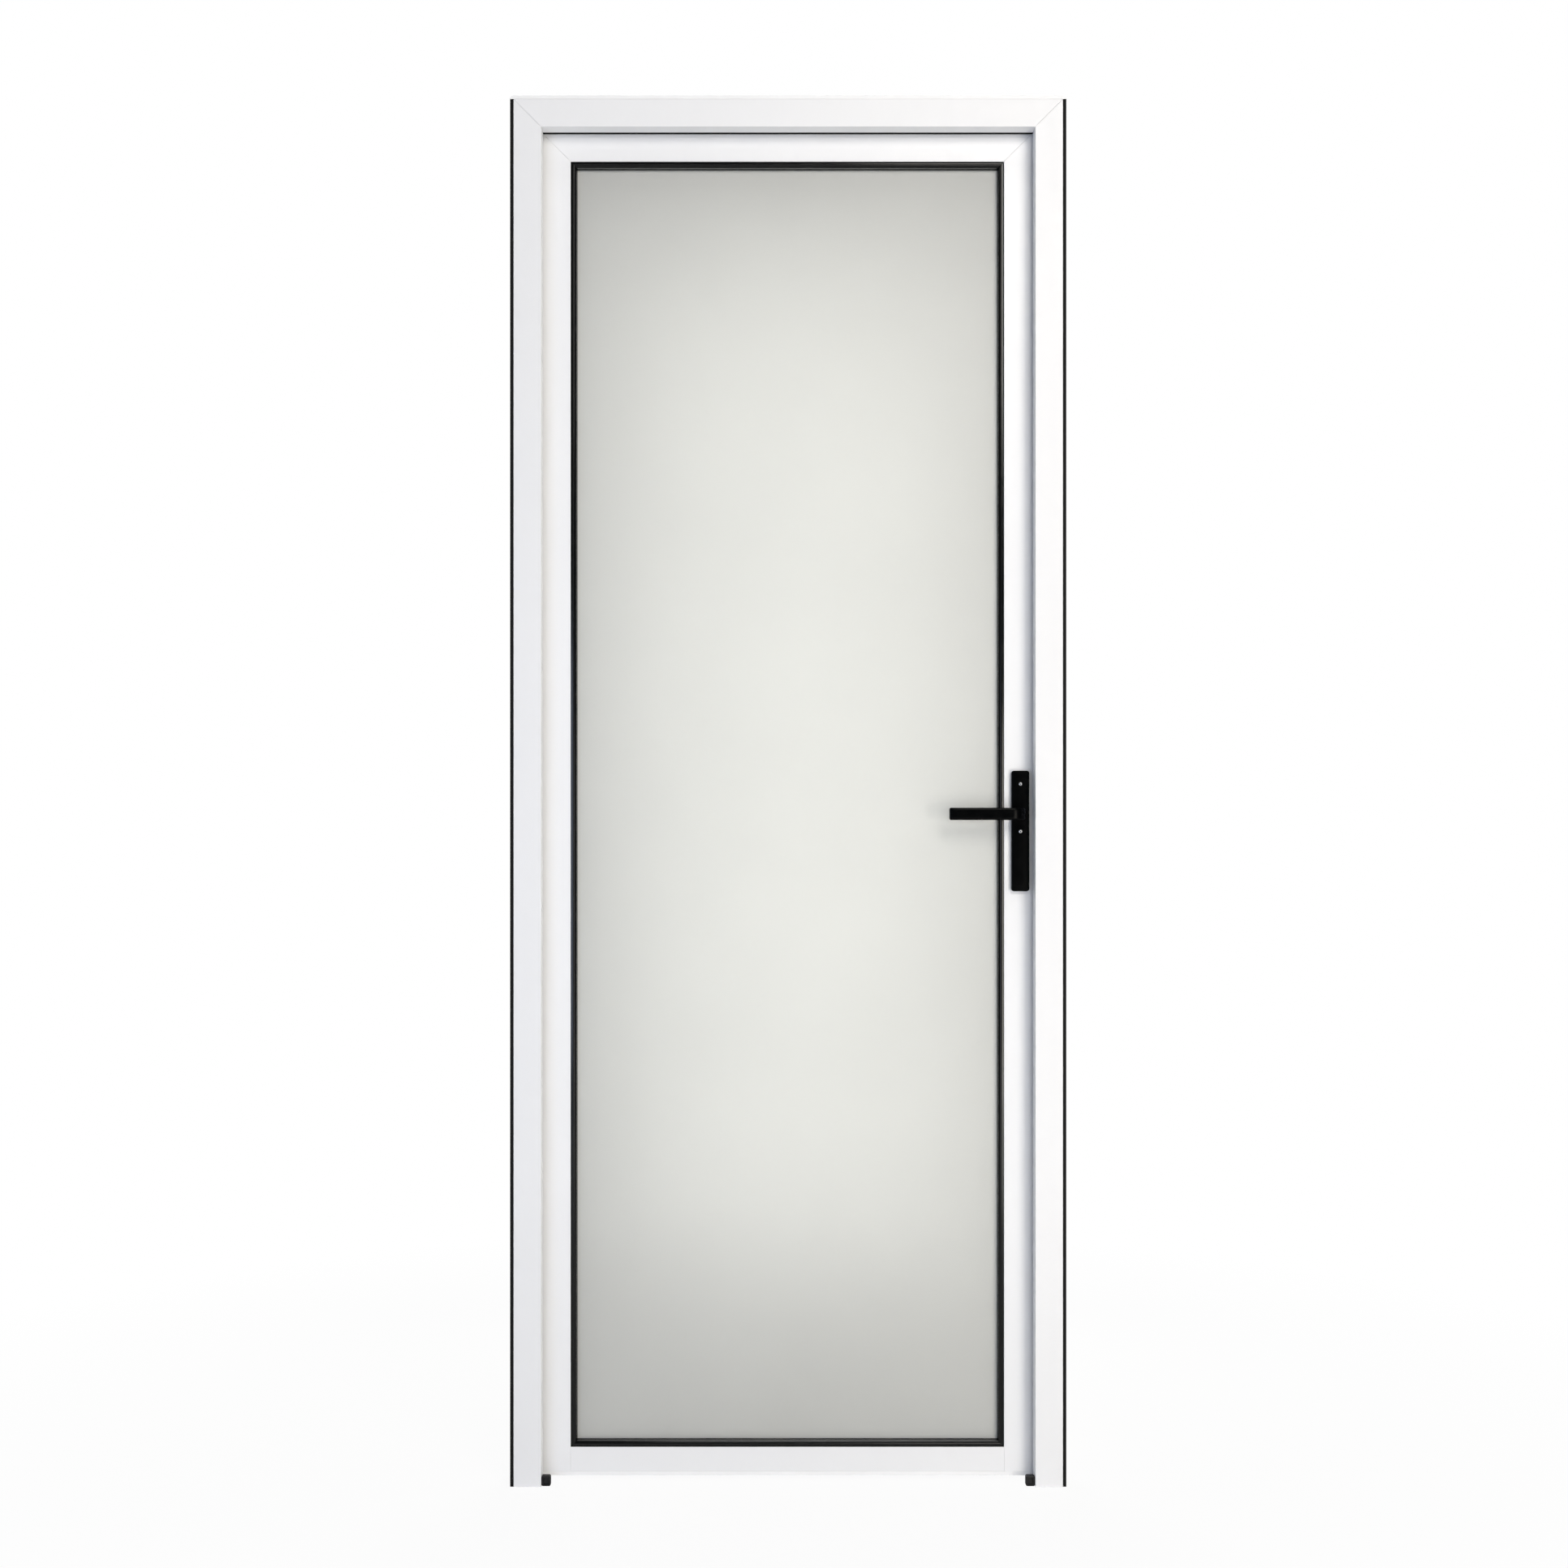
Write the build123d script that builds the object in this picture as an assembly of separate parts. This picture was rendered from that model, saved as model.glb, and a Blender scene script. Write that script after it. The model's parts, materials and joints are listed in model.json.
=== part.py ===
from build123d import *
import os

# Glazed bathroom door: a white aluminium frame, a framed leaf with one pane of frosted glass,
# black glazing beads, a black lever handle and three lift-off hinges on the back.
# Millimetres. X runs from the hinge jamb to the lock jamb, Y from the front to the back, Z up.
# The origin lies on the hinge jamb's wall face, at floor level, half way through the frame.
# A profile is drawn with X as the distance in from the outer edge and Y as the depth.

# How far a cutting solid runs past the surface that it cuts
cut_spare = 1.0

# How far a mitred end is cut back along its bar, which leaves a hairline joint
mitre_setback = 0.15

# Frame
frame_width = 840.0
frame_height = 2100.0
frame_face = 47.0
stop_depth = 27.0
rebate_side = 33.0
frame_wall = 1.8
ledge_width = 5.5
ledge_depth = 6.0
frame_corner_radius = 0.8

# Seals in the frame
edge_seal_recess = 0.5
edge_seal_radius = 1.5
cap_strip_recess = 0.2
cap_strip_joint = 0.3
cap_strip_corner = 3.0
stop_seal_offset = 0.5
stop_seal_base_width = 7.5
stop_seal_base = 1.5
stop_seal_height = 7.5
stop_seal_bulb_radius = 3.4
stop_seal_wall = 1.1
stop_seal_floor_gap = 2.0
head_seal_drop = 1.85
leaf_to_seal = 0.5

# Leaf
leaf_thickness = 35.0
hinge_side_gap = 5.0
lock_side_gap = 6.5
head_gap = 5.0
floor_gap = 6.0
stile_face = 50.5
bottom_rail_face = 37.5
leaf_wall = 1.8
leaf_corner_radius = 0.8
bottom_strip_height = 6.0
bottom_strip_inset = 1.0
bottom_strip_wall = 2.0

# Glazing
glass_thickness = 8.0
glass_edge_gap = 3.0
bead_face = 8.6
bead_recess = 1.0
bead_flat = 3.2
bead_ridge = 0.5
bead_ridge_width = 2.0
bead_slope = 2.6
bead_wall = 1.3
bead_hook = 4.2
bead_lug_height = 2.6
bead_lug_depth = 1.2
lug_glass_gap = 0.3
gasket_thickness = 2.0
gasket_lip = 0.6

# Handle
spindle_height = 1015.7
backset = 26.5
handle_plate_width = 27.0
handle_plate_height = 183.6
handle_plate_depth = 9.0
handle_plate_drop = 117.7
handle_plate_corner = 4.0
handle_plate_edge = 1.2
handle_screw_upper = 45.6
handle_screw_lower = 26.7
handle_screw_radius = 2.1
lever_length = 111.0
lever_height = 18.6
lever_thickness = 11.0
lever_corner = 1.4
lever_stand_off = 34.0
lever_bend_radius = 15.0
lever_end_radius = 2.0
lever_boss_radius = 8.8
lever_boss_depth = 6.0
lever_socket_depth = 22.0
lever_boss_clearance = 0.3
lever_neck_gap = 1.0
lever_collar = 1.5
spindle_size = 8.0
spindle_clearance = 0.1
spindle_end_gap = 0.5
stile_spindle_hole = 9.5

# Lock
lock_plate_width = 20.0
lock_plate_height = 160.0
lock_plate_thickness = 2.2
lock_seat_clearance = 0.2
lock_case_height = 112.0
lock_case_depth = 44.0
lock_case_thickness = 14.0
lock_case_wall = 1.2
lock_hub_radius = 6.0
latch_height = 18.0
latch_thickness = 10.0
latch_length = 15.0
latch_proud = 0.5
latch_clearance = 0.25
latch_bevel = 4.0

# Strike
strike_width = 22.0
strike_height = 110.0
strike_corner = 3.0
strike_lip_height = 34.0
strike_lip_margin = 2.0
strike_opening_margin = 2.0
strike_box_depth = 14.0
strike_box_wall = 1.0
strike_flange_side = 2.0
strike_flange_end = 3.0
strike_seat_clearance = 0.3

# Hinges
hinge_floor_distance = 220.0
hinge_head_distance = 250.0
hinge_height = 100.0
hinge_plate_width = 24.0
hinge_plate_thickness = 2.5
hinge_plate_corner = 4.0
hinge_knuckle_radius = 6.5
hinge_knuckle_gap = 0.5
hinge_face_gap = 0.5
hinge_swing_gap = 0.8
hinge_pin_radius = 3.5
hinge_pin_clearance = 0.1
hinge_pin_end_gap = 0.5
hinge_cap = 4.0

# Foot blocks
foot_block_width = 14.0
foot_block_height = 15.5
foot_block_front = 3.0
foot_block_depth = 9.0
foot_block_radius = 3.0
foot_block_pocket = 2.5
foot_block_rim = 2.6

# Wall screws
wall_screw_radius = 3.25
jamb_screw_end = 150.0
jamb_screw_count = 4
head_screw_end = 210.0

# Worked out from the values above
seal_space = stop_seal_height + leaf_to_seal
leaf_front_depth = stop_depth + seal_space
frame_depth = leaf_front_depth + leaf_thickness
front_y = -frame_depth / 2
back_y = frame_depth / 2
leaf_front_y = front_y + leaf_front_depth
leaf_middle_y = leaf_front_y + leaf_thickness / 2
screw_line_y = front_y + (stop_depth + frame_depth) / 2

leaf_left = rebate_side + hinge_side_gap
leaf_right = frame_width - rebate_side - lock_side_gap
leaf_top = frame_height - rebate_side - head_gap
leaf_bottom = floor_gap
leaf_frame_bottom = leaf_bottom + bottom_strip_height
glazing_left = leaf_left + stile_face
glazing_right = leaf_right - stile_face
glazing_bottom = leaf_frame_bottom + bottom_rail_face
glazing_top = leaf_top - stile_face

glass_front = (leaf_thickness - glass_thickness) / 2
bead_back = glass_front - gasket_thickness
lug_front = glass_front - bead_lug_depth - lug_glass_gap
bead_foot = lug_front

spindle_x = leaf_right - backset
strike_x = frame_width - rebate_side
hinge_axis_x = rebate_side + hinge_side_gap / 2
hinge_axis_y = back_y + hinge_face_gap + hinge_knuckle_radius
hinge_lowest = hinge_floor_distance
hinge_highest = frame_height - hinge_head_distance
hinge_heights = {
    "lower": hinge_lowest,
    "middle": (hinge_lowest + hinge_highest) / 2,
    "upper": hinge_highest,
}

frame_outline = (0.0, frame_width, 0.0, frame_height)
leaf_outline = (leaf_left, leaf_right, leaf_frame_bottom, leaf_top)
glazing_outline = (glazing_left, glazing_right, glazing_bottom, glazing_top)
frame_corners = ("left", "top", "right")
every_side = ("left", "top", "right", "bottom")

inward = {
    "left": Vector(1, 0, 0),
    "right": Vector(-1, 0, 0),
    "top": Vector(0, 0, -1),
    "bottom": Vector(0, 0, 1),
}


def block(x_low, x_high, y_low, y_high, z_low, z_high):
    """A plain block between two corners."""
    size = Box(x_high - x_low, y_high - y_low, z_high - z_low)
    centre = ((x_low + x_high) / 2, (y_low + y_high) / 2, (z_low + z_high) / 2)
    return Pos(*centre) * size


def area(x_low, x_high, y_low, y_high):
    """A plain rectangle in a profile."""
    centre = ((x_low + x_high) / 2, (y_low + y_high) / 2)
    return Pos(*centre) * Rectangle(x_high - x_low, y_high - y_low)


def polygon(*points):
    """A profile through these points."""
    return Polygon(*points, align=None)


def rounded(profile, radius, *corners):
    """Round the profile's corners that lie at these points."""
    chosen = [
        vertex
        for vertex in profile.vertices()
        if any(abs(vertex.X - x) + abs(vertex.Y - y) < 0.01 for x, y in corners)
    ]
    return fillet(chosen, radius)


def cylinder_along(axis, centre, radius, length):
    """A cylinder about a point, along one of the frame's axes."""
    turned = {"x": Rot(0, 90, 0), "y": Rot(90, 0, 0), "z": Rot(0, 0, 0)}
    return Pos(*centre) * turned[axis] * Cylinder(radius, length)


def bar(profile, length, mitres, setback):
    """Carry a profile along Z. An end in mitres is cut at 45 degrees and set back, the other is square."""
    result = extrude(profile, amount=length)
    spare = cut_spare
    reach = profile.bounding_box().max.X + spare
    if "start" in mitres:
        wedge = polygon(
            (-spare, setback - spare),
            (reach, setback + reach),
            (reach, -spare * 2),
            (-spare, -spare * 2),
        )
        result -= extrude(Plane.XZ * wedge, amount=frame_depth * 2, both=True)
    if "end" in mitres:
        wedge = polygon(
            (-spare, length - setback + spare),
            (reach, length - setback - reach),
            (reach, length + spare * 2),
            (-spare, length + spare * 2),
        )
        result -= extrude(Plane.XZ * wedge, amount=frame_depth * 2, both=True)
    return result


def frame_side(profile, outline, side, face_y, facing=1, mitred=frame_corners, setback=mitre_setback):
    """One side of a rectangle of bars: its profile faces inward, with depth measured from face_y.
    facing is 1 where depth runs towards the back, and -1 where it runs towards the front.
    Two neighbouring sides that are both in mitred meet at 45 degrees."""
    x_low, x_high, z_low, z_high = outline
    depth = Vector(0, facing, 0)
    across = inward[side]
    along = across.cross(depth)
    upright = side in ("left", "right")
    length = z_high - z_low if upright else x_high - x_low
    first = {"left": x_low, "right": x_high, "top": z_high, "bottom": z_low}[side]
    if upright:
        start = (first, face_y, z_low if along.Z > 0 else z_high)
        neighbours = ("bottom", "top") if along.Z > 0 else ("top", "bottom")
    else:
        start = (x_low if along.X > 0 else x_high, face_y, first)
        neighbours = ("left", "right") if along.X > 0 else ("right", "left")
    ends = zip(("start", "end"), neighbours)
    mitres = [end for end, other in ends if other in mitred and side in mitred]
    seat = Plane(origin=start, x_dir=across, z_dir=along)
    return seat.location * bar(profile, length, mitres, setback)


def frame_profile():
    """Hollow frame section: a stop in front, a rebate behind it and a ledge for the edge seal."""
    outline = polygon(
        (ledge_width, 0),
        (frame_face, 0),
        (frame_face, stop_depth),
        (rebate_side, stop_depth),
        (rebate_side, frame_depth),
        (0, frame_depth),
        (0, ledge_depth),
        (ledge_width, ledge_depth),
    )
    outline = rounded(
        outline,
        frame_corner_radius,
        (frame_face, 0),
        (frame_face, stop_depth),
        (rebate_side, frame_depth),
    )
    stop_chamber = polygon(
        (ledge_width + frame_wall, frame_wall),
        (frame_face - frame_wall, frame_wall),
        (frame_face - frame_wall, stop_depth - frame_wall),
        (frame_wall, stop_depth - frame_wall),
        (frame_wall, ledge_depth + frame_wall),
        (ledge_width + frame_wall, ledge_depth + frame_wall),
    )
    rebate_chamber = area(frame_wall, rebate_side - frame_wall, stop_depth, frame_depth - frame_wall)
    return outline - stop_chamber - rebate_chamber


def edge_seal_profile():
    """Black strip in a jamb's ledge, flush with the wall face."""
    profile = area(0, ledge_width, edge_seal_recess, ledge_depth)
    return rounded(profile, edge_seal_radius, (0, edge_seal_recess))


def cap_strip():
    """White strip in the head's ledge, over the ends of the edge seals, with a hairline joint below
    it. Its upper corners are cut off."""
    profile = area(0, ledge_width - cap_strip_joint, cap_strip_recess, ledge_depth)
    strip = frame_side(profile, frame_outline, "top", front_y, mitred=())
    return chamfer(strip.edges().filter_by(Axis.Y).group_by(Axis.Z)[-1], cap_strip_corner)


def stop_seal_profile(drop):
    """Bulb seal on the back of the stop: a flat base and a hollow bulb that meets the leaf.
    drop is how far the bulb's middle lies inward of the base's middle."""
    middle = frame_face - stop_seal_offset - stop_seal_base_width / 2
    base = area(
        middle - stop_seal_base_width / 2,
        middle + stop_seal_base_width / 2,
        stop_depth,
        stop_depth + stop_seal_base,
    )
    centre = (middle + drop, stop_depth + stop_seal_height - stop_seal_bulb_radius)
    bulb = Pos(*centre) * Circle(stop_seal_bulb_radius)
    hollow = Pos(*centre) * Circle(stop_seal_bulb_radius - stop_seal_wall)
    return base + bulb - hollow


def leaf_profile(face):
    """Hollow leaf section with two small lugs on its glazing side, which the beads clip over."""
    outline = area(0, face, 0, leaf_thickness)
    corners = [(x, y) for x in (0, face) for y in (0, leaf_thickness)]
    outline = rounded(outline, leaf_corner_radius, *corners)
    chamber = area(leaf_wall, face - leaf_wall, leaf_wall, leaf_thickness - leaf_wall)
    front_lug = area(face, face + bead_lug_height, lug_front, lug_front + bead_lug_depth)
    back_lug = area(
        face,
        face + bead_lug_height,
        leaf_thickness - lug_front - bead_lug_depth,
        leaf_thickness - lug_front,
    )
    return outline - chamber + front_lug + back_lug


def bead_profile():
    """Snap-in bead: a flat, a low ridge and a slope, with a hook behind for the gasket."""
    ridge_start = bead_flat + bead_recess - bead_ridge
    ridge_end = ridge_start + bead_ridge_width
    side = bead_face - bead_wall
    profile = polygon(
        (0, bead_recess),
        (bead_flat, bead_recess),
        (ridge_start, bead_ridge),
        (ridge_end, bead_ridge),
        (bead_face, bead_recess + bead_slope),
        (bead_face, bead_back),
        (bead_hook, bead_back),
        (bead_hook, bead_back - bead_wall),
        (side, bead_back - bead_wall),
        (side, bead_recess + bead_slope + bead_wall / 2),
        (ridge_end - bead_wall / 2, bead_recess + bead_wall),
        (bead_wall, bead_recess + bead_wall),
        (bead_wall, bead_foot),
        (0, bead_foot),
    )
    return rounded(profile, bead_ridge / 2, (ridge_start, bead_ridge), (ridge_end, bead_ridge))


def gasket_profile():
    """Black gasket between a bead's hook and the glass, with a lip past the bead."""
    return area(bead_hook, bead_face + gasket_lip, bead_back, glass_front)


def build_frame():
    """Jambs, head, the seals and strips in them, and the strike."""
    sides = {"hinge_jamb": "left", "lock_jamb": "right", "head": "top"}
    pieces = {
        name: frame_side(frame_profile(), frame_outline, side, front_y) for name, side in sides.items()
    }
    screw_pitch = (frame_height - 2 * jamb_screw_end) / (jamb_screw_count - 1)
    for index in range(jamb_screw_count):
        z = jamb_screw_end + index * screw_pitch
        for name, x in (("hinge_jamb", rebate_side / 2), ("lock_jamb", frame_width - rebate_side / 2)):
            centre = (x, screw_line_y, z)
            pieces[name] -= cylinder_along("x", centre, wall_screw_radius, rebate_side + cut_spare)
    for x in (head_screw_end, frame_width - head_screw_end):
        centre = (x, screw_line_y, frame_height - rebate_side / 2)
        pieces["head"] -= cylinder_along("z", centre, wall_screw_radius, rebate_side + cut_spare)
    pieces["lock_jamb"] -= strike_outline(strike_seat_clearance)

    ledge_outline = (0.0, frame_width, 0.0, frame_height - ledge_width)
    for name, side in (("hinge_jamb_edge_seal", "left"), ("lock_jamb_edge_seal", "right")):
        pieces[name] = frame_side(edge_seal_profile(), ledge_outline, side, front_y, mitred=())
    pieces["head_cap_strip"] = cap_strip()
    seals = {
        "hinge_stop_seal": ("left", 0),
        "lock_stop_seal": ("right", 0),
        "head_stop_seal": ("top", head_seal_drop),
    }
    seal_outline = (0.0, frame_width, stop_seal_floor_gap, frame_height)
    for name, (side, drop) in seals.items():
        pieces[name] = frame_side(stop_seal_profile(drop), seal_outline, side, front_y)
    pieces["strike_plate"] = strike_plate()
    pieces["hinge_foot_block"] = foot_block(frame_face)
    pieces["lock_foot_block"] = foot_block(frame_face).mirror(Plane.YZ.offset(frame_width / 2))
    return pieces


def strike_outline(clearance):
    """The strike's flat outline with its lip, cut or filled to the thickness of the jamb's wall."""
    half = strike_width / 2 + clearance
    high = strike_height / 2 + clearance
    lip_end = back_y - strike_lip_margin + clearance
    plate = area(leaf_middle_y - half, leaf_middle_y + half, spindle_height - high, spindle_height + high)
    corners = [(leaf_middle_y + a * half, spindle_height + b * high) for a in (-1, 1) for b in (-1, 1)]
    plate = rounded(plate, strike_corner, *corners)
    lip_half = strike_lip_height / 2 + clearance
    lip = area(leaf_middle_y, lip_end, spindle_height - lip_half, spindle_height + lip_half)
    seat = Plane(origin=(strike_x, 0, 0), x_dir=(0, 1, 0), z_dir=(1, 0, 0))
    return seat.location * extrude(plate + lip, amount=frame_wall)


def strike_plate():
    """Box strike, flush with the jamb: a plate with a lip, and an open box behind its opening."""
    half_y = latch_thickness / 2 + strike_opening_margin
    half_z = latch_height / 2 + strike_opening_margin
    low_y, high_y = leaf_middle_y - half_y, leaf_middle_y + half_y
    low_z, high_z = spindle_height - half_z, spindle_height + half_z
    wall = strike_box_wall
    end = strike_x + strike_box_depth
    shell = block(strike_x, end, low_y - wall, high_y + wall, low_z - wall, high_z + wall)
    hollow = block(strike_x - cut_spare, end - wall, low_y, high_y, low_z, high_z)
    flange = block(
        strike_x + frame_wall,
        strike_x + frame_wall + wall,
        leaf_middle_y - strike_width / 2 - strike_flange_side,
        leaf_middle_y + strike_width / 2 + strike_flange_side,
        spindle_height - strike_height / 2 - strike_flange_end,
        spindle_height + strike_height / 2 + strike_flange_end,
    )
    return strike_outline(0) + shell + flange - hollow


def foot_block(side_x):
    """Black block at the foot of a jamb, with a shallow pocket in its front."""
    low_y = front_y + foot_block_front
    high_y = low_y + foot_block_depth
    right = side_x + foot_block_width
    body = block(side_x, right, low_y, high_y, 0, foot_block_height)
    lower = body.edges().filter_by(Axis.Y).sort_by(Axis.X)[-2:]
    body = fillet(lower, foot_block_radius)
    rim = foot_block_rim
    pocket = block(
        side_x + rim,
        right - rim,
        low_y - cut_spare,
        low_y + foot_block_pocket,
        rim,
        foot_block_height - rim,
    )
    return body - pocket


def build_leaf_frame():
    """Two stiles and the top rail mitred together, the bottom rail between the stiles, and a strip
    below."""
    pieces = {}
    stile = leaf_profile(stile_face)
    names = {"leaf_hinge_stile": "left", "leaf_lock_stile": "right", "leaf_top_rail": "top"}
    for name, side in names.items():
        pieces[name] = frame_side(stile, leaf_outline, side, leaf_front_y)
    rail_outline = (glazing_left, glazing_right, leaf_frame_bottom, leaf_top)
    rail = leaf_profile(bottom_rail_face)
    pieces["leaf_bottom_rail"] = frame_side(rail, rail_outline, "bottom", leaf_front_y, mitred=())
    pieces["leaf_bottom_rail"] -= stile_lugs()

    strip = block(
        leaf_left,
        leaf_right,
        leaf_front_y + bottom_strip_inset,
        back_y - bottom_strip_inset,
        leaf_bottom,
        leaf_frame_bottom,
    )
    channel = block(
        leaf_left - cut_spare,
        leaf_right + cut_spare,
        leaf_front_y + bottom_strip_inset + bottom_strip_wall,
        back_y - bottom_strip_inset - bottom_strip_wall,
        leaf_bottom - cut_spare,
        leaf_frame_bottom - bottom_strip_wall,
    )
    pieces["leaf_bottom_strip"] = strip - channel

    reach = leaf_thickness + 2 * cut_spare
    centre = (spindle_x, leaf_middle_y, spindle_height)
    pieces["leaf_lock_stile"] -= cylinder_along("y", centre, stile_spindle_hole, reach)
    for z in handle_screw_heights():
        centre = (spindle_x, leaf_middle_y, z)
        pieces["leaf_lock_stile"] -= cylinder_along("y", centre, handle_screw_radius, reach)
    pieces["leaf_lock_stile"] -= lock_plate_outline(lock_seat_clearance)
    return pieces


def stile_lugs():
    """The stiles' lugs where they run past the ends of the bottom rail."""
    lugs = []
    high_z = glazing_bottom + bead_lug_height
    for low_depth in (lug_front, leaf_thickness - lug_front - bead_lug_depth):
        low_y = leaf_front_y + low_depth
        high_y = low_y + bead_lug_depth
        for low_x in (glazing_left, glazing_right - bead_lug_height):
            lugs.append(block(low_x, low_x + bead_lug_height, low_y, high_y, leaf_bottom, high_z))
    return Part() + lugs


def build_glazing():
    """Eight beads, two gaskets and the pane."""
    pieces = {}
    layers = {"front": (leaf_front_y, 1), "back": (back_y, -1)}
    for layer, (face_y, facing) in layers.items():
        for side in every_side:
            pieces[f"{layer}_bead_{side}"] = frame_side(
                bead_profile(), glazing_outline, side, face_y, facing, every_side
            )
        strips = [
            frame_side(gasket_profile(), glazing_outline, side, face_y, facing, every_side, setback=0)
            for side in every_side
        ]
        pieces[f"{layer}_glazing_gasket"] = Part() + strips
    pieces["glass_pane"] = block(
        glazing_left + glass_edge_gap,
        glazing_right - glass_edge_gap,
        leaf_front_y + glass_front,
        leaf_front_y + glass_front + glass_thickness,
        glazing_bottom + glass_edge_gap,
        glazing_top - glass_edge_gap,
    )
    return pieces


def handle_screw_heights():
    """Heights of the two screws through the handle plates."""
    return (spindle_height + handle_screw_upper, spindle_height - handle_screw_lower)


def front_handle_plate():
    """Cast plate in front of the leaf, with a hole for the lever's boss and two screw holes."""
    half = handle_plate_width / 2
    low_z = spindle_height - handle_plate_drop
    face_y = leaf_front_y - handle_plate_depth
    high_z = low_z + handle_plate_height
    body = block(spindle_x - half, spindle_x + half, face_y, leaf_front_y, low_z, high_z)
    body = fillet(body.edges().filter_by(Axis.Y), handle_plate_corner)
    body = chamfer(body.faces().sort_by(Axis.Y)[0].edges(), handle_plate_edge)
    reach = (handle_plate_depth + cut_spare) * 2
    hole = lever_boss_radius + lever_boss_clearance
    body -= cylinder_along("y", (spindle_x, leaf_front_y, spindle_height), hole, reach)
    for z in handle_screw_heights():
        body -= cylinder_along("y", (spindle_x, leaf_front_y, z), handle_screw_radius, reach)
    return body


def lever_plan(neck_y):
    """The lever seen from above: a neck, a bend and a straight bar with a rounded tip."""
    half = lever_thickness / 2
    front = leaf_front_y - handle_plate_depth - lever_stand_off
    back = front + lever_thickness
    tip = spindle_x - lever_length
    plan = polygon(
        (spindle_x + half, neck_y),
        (spindle_x + half, front),
        (tip, front),
        (tip, back),
        (spindle_x - half, back),
        (spindle_x - half, neck_y),
    )
    plan = rounded(plan, lever_bend_radius + half, (spindle_x + half, front))
    plan = rounded(plan, lever_bend_radius - half, (spindle_x - half, back))
    return rounded(plan, lever_end_radius, (tip, front), (tip, back))


def front_lever():
    """The plan carried up through the bar's height and bevelled, with a round boss in the plate."""
    plate_y = leaf_front_y - handle_plate_depth
    neck_y = plate_y - lever_neck_gap
    grip = Pos(0, 0, spindle_height) * extrude(lever_plan(neck_y), amount=lever_height / 2, both=True)
    rims = [
        edge
        for edge in grip.edges()
        if edge.bounding_box().size.Z < 0.01 and edge.center().Y < neck_y - 0.01
    ]
    grip = chamfer(rims, lever_corner)
    boss_front = neck_y - lever_collar
    boss_back = plate_y + lever_boss_depth
    boss = cylinder_along(
        "y",
        (spindle_x, (boss_front + boss_back) / 2, spindle_height),
        lever_boss_radius,
        boss_back - boss_front,
    )
    half = spindle_size / 2 + spindle_clearance
    socket = block(
        spindle_x - half,
        spindle_x + half,
        boss_back - lever_socket_depth,
        boss_back + cut_spare,
        spindle_height - half,
        spindle_height + half,
    )
    return grip + boss - socket


def build_handle():
    """Both plates, both levers and the spindle between them."""
    middle = Plane.XZ.offset(-leaf_middle_y)
    plate = front_handle_plate()
    lever = front_lever()
    boss_back = leaf_front_y - handle_plate_depth + lever_boss_depth
    spindle_end = boss_back - lever_socket_depth + spindle_end_gap
    half = spindle_size / 2
    spindle = block(
        spindle_x - half,
        spindle_x + half,
        spindle_end,
        2 * leaf_middle_y - spindle_end,
        spindle_height - half,
        spindle_height + half,
    )
    return {
        "front_handle_plate": plate,
        "back_handle_plate": plate.mirror(middle),
        "front_lever": lever,
        "back_lever": lever.mirror(middle),
        "spindle": spindle,
    }


def lock_plate_outline(clearance):
    """The lock's long narrow plate in the edge of the leaf."""
    half_y = lock_plate_width / 2 + clearance
    half_z = lock_plate_height / 2 + clearance
    return block(
        leaf_right - lock_plate_thickness,
        leaf_right,
        leaf_middle_y - half_y,
        leaf_middle_y + half_y,
        spindle_height - half_z,
        spindle_height + half_z,
    )


def latch(clearance, start_x, end_x):
    """The latch's rectangular section between two places along X."""
    half_y = latch_thickness / 2 + clearance
    half_z = latch_height / 2 + clearance
    return block(
        start_x,
        end_x,
        leaf_middle_y - half_y,
        leaf_middle_y + half_y,
        spindle_height - half_z,
        spindle_height + half_z,
    )


def build_lock():
    """Lock plate, hollow case and the drawn-back latch, its nose bevelled on the side that closes
    first."""
    case_right = leaf_right - lock_plate_thickness
    case_left = case_right - lock_case_depth
    half_y = lock_case_thickness / 2
    half_z = lock_case_height / 2
    wall = lock_case_wall
    case = block(
        case_left,
        case_right,
        leaf_middle_y - half_y,
        leaf_middle_y + half_y,
        spindle_height - half_z,
        spindle_height + half_z,
    )
    case -= block(
        case_left + wall,
        case_right - wall,
        leaf_middle_y - half_y + wall,
        leaf_middle_y + half_y - wall,
        spindle_height - half_z + wall,
        spindle_height + half_z - wall,
    )
    hub_centre = (spindle_x, leaf_middle_y, spindle_height)
    case -= cylinder_along("y", hub_centre, lock_hub_radius, lock_case_thickness + 2 * cut_spare)
    latch_hole = latch(latch_clearance, case_right - 2 * wall, leaf_right + cut_spare)
    nose_x = leaf_right + latch_proud
    bolt = latch(0, nose_x - latch_length, nose_x)
    nose_edge = bolt.edges().filter_by(Axis.Z).sort_by(Axis.X)[-2:].sort_by(Axis.Y)[0]
    bolt = chamfer(nose_edge, latch_bevel)
    return {
        "lock_faceplate": lock_plate_outline(0) - latch_hole,
        "lock_case": case - latch_hole,
        "latch_bolt": bolt,
    }


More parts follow.
